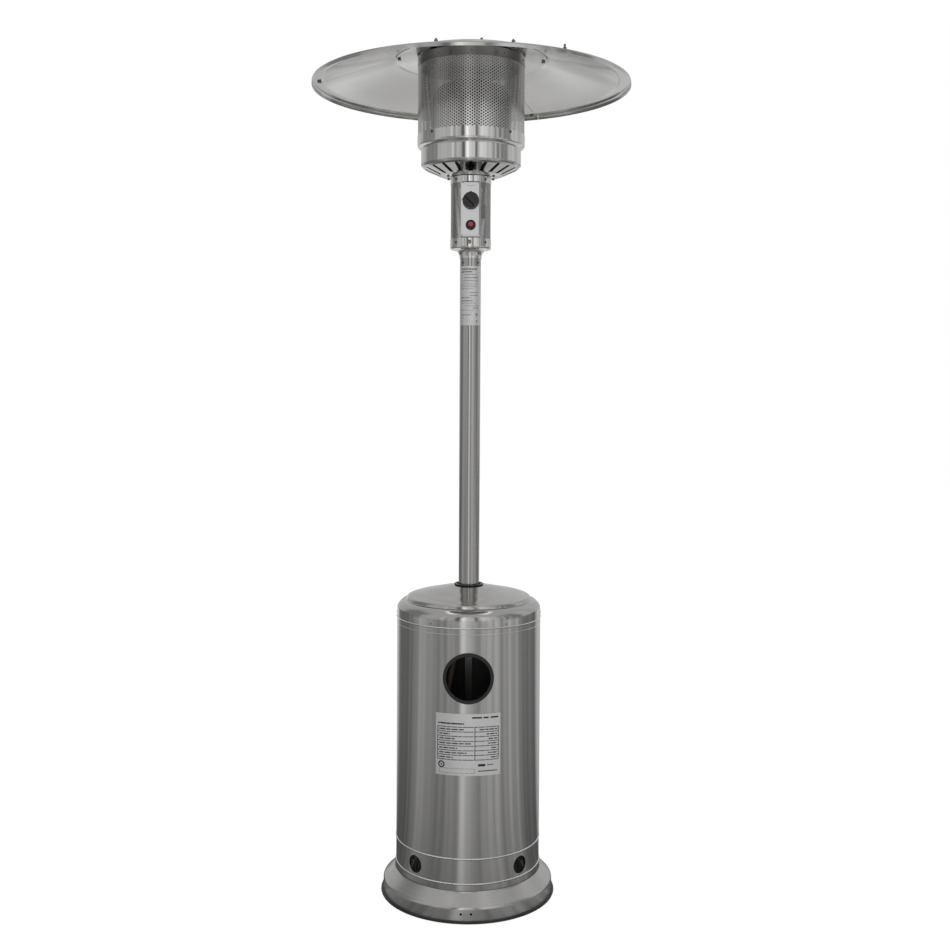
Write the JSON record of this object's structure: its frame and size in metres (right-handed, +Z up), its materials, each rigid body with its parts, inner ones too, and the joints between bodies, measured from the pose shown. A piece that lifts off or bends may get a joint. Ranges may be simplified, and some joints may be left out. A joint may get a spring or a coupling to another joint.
{
  "type": "outdoor heater",
  "caption": "Free-standing gas patio heater: round base and tank housing that slides up its post, control box, perforated emitter and wide segmented reflector.",
  "frame": {"origin": "centre of the round base on the ground", "axes": "+Z up along the post, controls and sight hole face -Y, +X to the right seen from the front"},
  "size_m": [0.8154, 0.8154, 2.1775],
  "materials": {
    "edge_trim": "matte black moulded edge trim",
    "brushed_base": "stainless pressing, fine circular brushing",
    "grey_paint": "dark grey paint",
    "frame_steel": "grey coated steel",
    "fastener": "bright plated steel",
    "brushed_post": "stainless tube, brushed along its length",
    "label": "silver foil label with plain ruled lines",
    "bright_steel": "polished stainless",
    "perforated_steel": "perforated stainless sheet",
    "panel_steel": "satin bright panel",
    "brass": "turned brass",
    "valve_alloy": "die-cast alloy",
    "black_plastic": "moulded black plastic",
    "red_plastic": "glossy red plastic",
    "lead_sleeve": "sleeved ignition lead and ceramic",
    "copper": "copper line",
    "burnt_steel": "heat-darkened stainless",
    "dish_steel": "satin stainless pressing",
    "cap_steel": "stainless, slightly heat-dulled",
    "reflector_steel": "bright sheet, soft sheen",
    "hose": "reddish-brown rubber hose",
    "zinc": "die-cast zinc, dull grey",
    "brushed_housing": "stainless sheet, vertical brushing",
    "brushed_lid": "stainless pressing, circular brushing",
    "black_rubber": "black rubber edging"
  },
  "bodies": {
    "root": {"base_edge_trim": "edge_trim", "base_dish": "brushed_base", "tank_platform": "grey_paint", "leg_rear": "frame_steel", "leg_left": "frame_steel", "leg_right": "frame_steel", "frame_bolts": "fastener", "post_socket": "frame_steel", "post": "brushed_post", "post_label": "label", "post_screws": "fastener", "head_flange": "bright_steel", "control_box_cup": "bright_steel", "control_box_guard": "perforated_steel", "control_panel": "panel_steel", "control_box_collar": "bright_steel", "control_box_screws": "fastener", "earth_screw": "brass", "gas_valve": "valve_alloy", "igniter_body": "black_plastic", "igniter_bezel": "black_plastic", "igniter_lead": "lead_sleeve", "thermocouple": "copper", "pilot_tube": "fastener", "pilot_bracket": "burnt_steel", "tilt_case": "black_plastic", "gas_jet": "brass", "venturi_tube": "burnt_steel", "burner_dish": "dish_steel", "lower_band": "bright_steel", "upper_band": "bright_steel", "head_screws": "fastener", "burner_plate": "burnt_steel", "burner_dome": "burnt_steel", "emitter_screen": "perforated_steel", "emitter_cap": "cap_steel", "reflector_studs": "fastener", "reflector_centre": "reflector_steel", "reflector_nuts": "fastener", "reflector_panel_right": "reflector_steel", "reflector_panel_rear": "reflector_steel", "reflector_panel_front": "reflector_steel", "seam_bolts": "fastener", "gas_hose_upper": "hose", "gas_hose_lower": "hose", "hose_ferrule": "fastener", "regulator_body": "zinc"},
    "lid_collar": {"lid_collar": "black_plastic"},
    "tank_cover": {"housing_shell": "brushed_housing", "lid": "brushed_lid", "lid_rivets": "fastener", "window_trim": "black_rubber", "rating_plate": "label"},
    "valve_plunger": {"valve_plunger": "brass"},
    "knob": {"control_knob": "black_plastic", "valve_spindle": "fastener"},
    "igniter_button": {"igniter_button": "red_plastic"},
    "tilt_pendulum": {"tilt_pendulum": "fastener"},
    "inlet_coupling": {"inlet_nut": "brass", "inlet_handwheel": "black_plastic"}
  },
  "joints": [
    {"name": "cover_lift", "type": "slide", "parent": "root", "child": "lid_collar", "axis": [0, 0, 1], "range_m": [0, 0.62]},
    {"name": "cover_turn", "type": "hinge", "parent": "lid_collar", "child": "tank_cover", "pos_m": [0, 0, 0.795], "axis": [0, 0, 1], "continuous": true},
    {"name": "knob_push", "type": "slide", "parent": "root", "child": "valve_plunger", "axis": [0, 1, 0], "range_m": [0, 0.003], "stiffness_N_per_m": 1500, "springref_m": -0.004},
    {"name": "knob_turn", "type": "hinge", "parent": "valve_plunger", "child": "knob", "pos_m": [0, -0.07, 1.78], "axis": [0, -1, 0], "range_deg": [0, 210]},
    {"name": "igniter_press", "type": "slide", "parent": "root", "child": "igniter_button", "axis": [0, 1, 0], "range_m": [0, 0.0045], "stiffness_N_per_m": 1500, "springref_m": -0.003},
    {"name": "tilt_swing", "type": "hinge", "parent": "root", "child": "tilt_pendulum", "pos_m": [0.03, 0.01, 1.772], "axis": [1, 0, 0], "range_deg": [-25, 25]},
    {"name": "inlet_turn", "type": "hinge", "parent": "root", "child": "inlet_coupling", "pos_m": [-0.063, -0.046, 0.118], "axis": [0, -1, 0], "continuous": true}
  ]
}
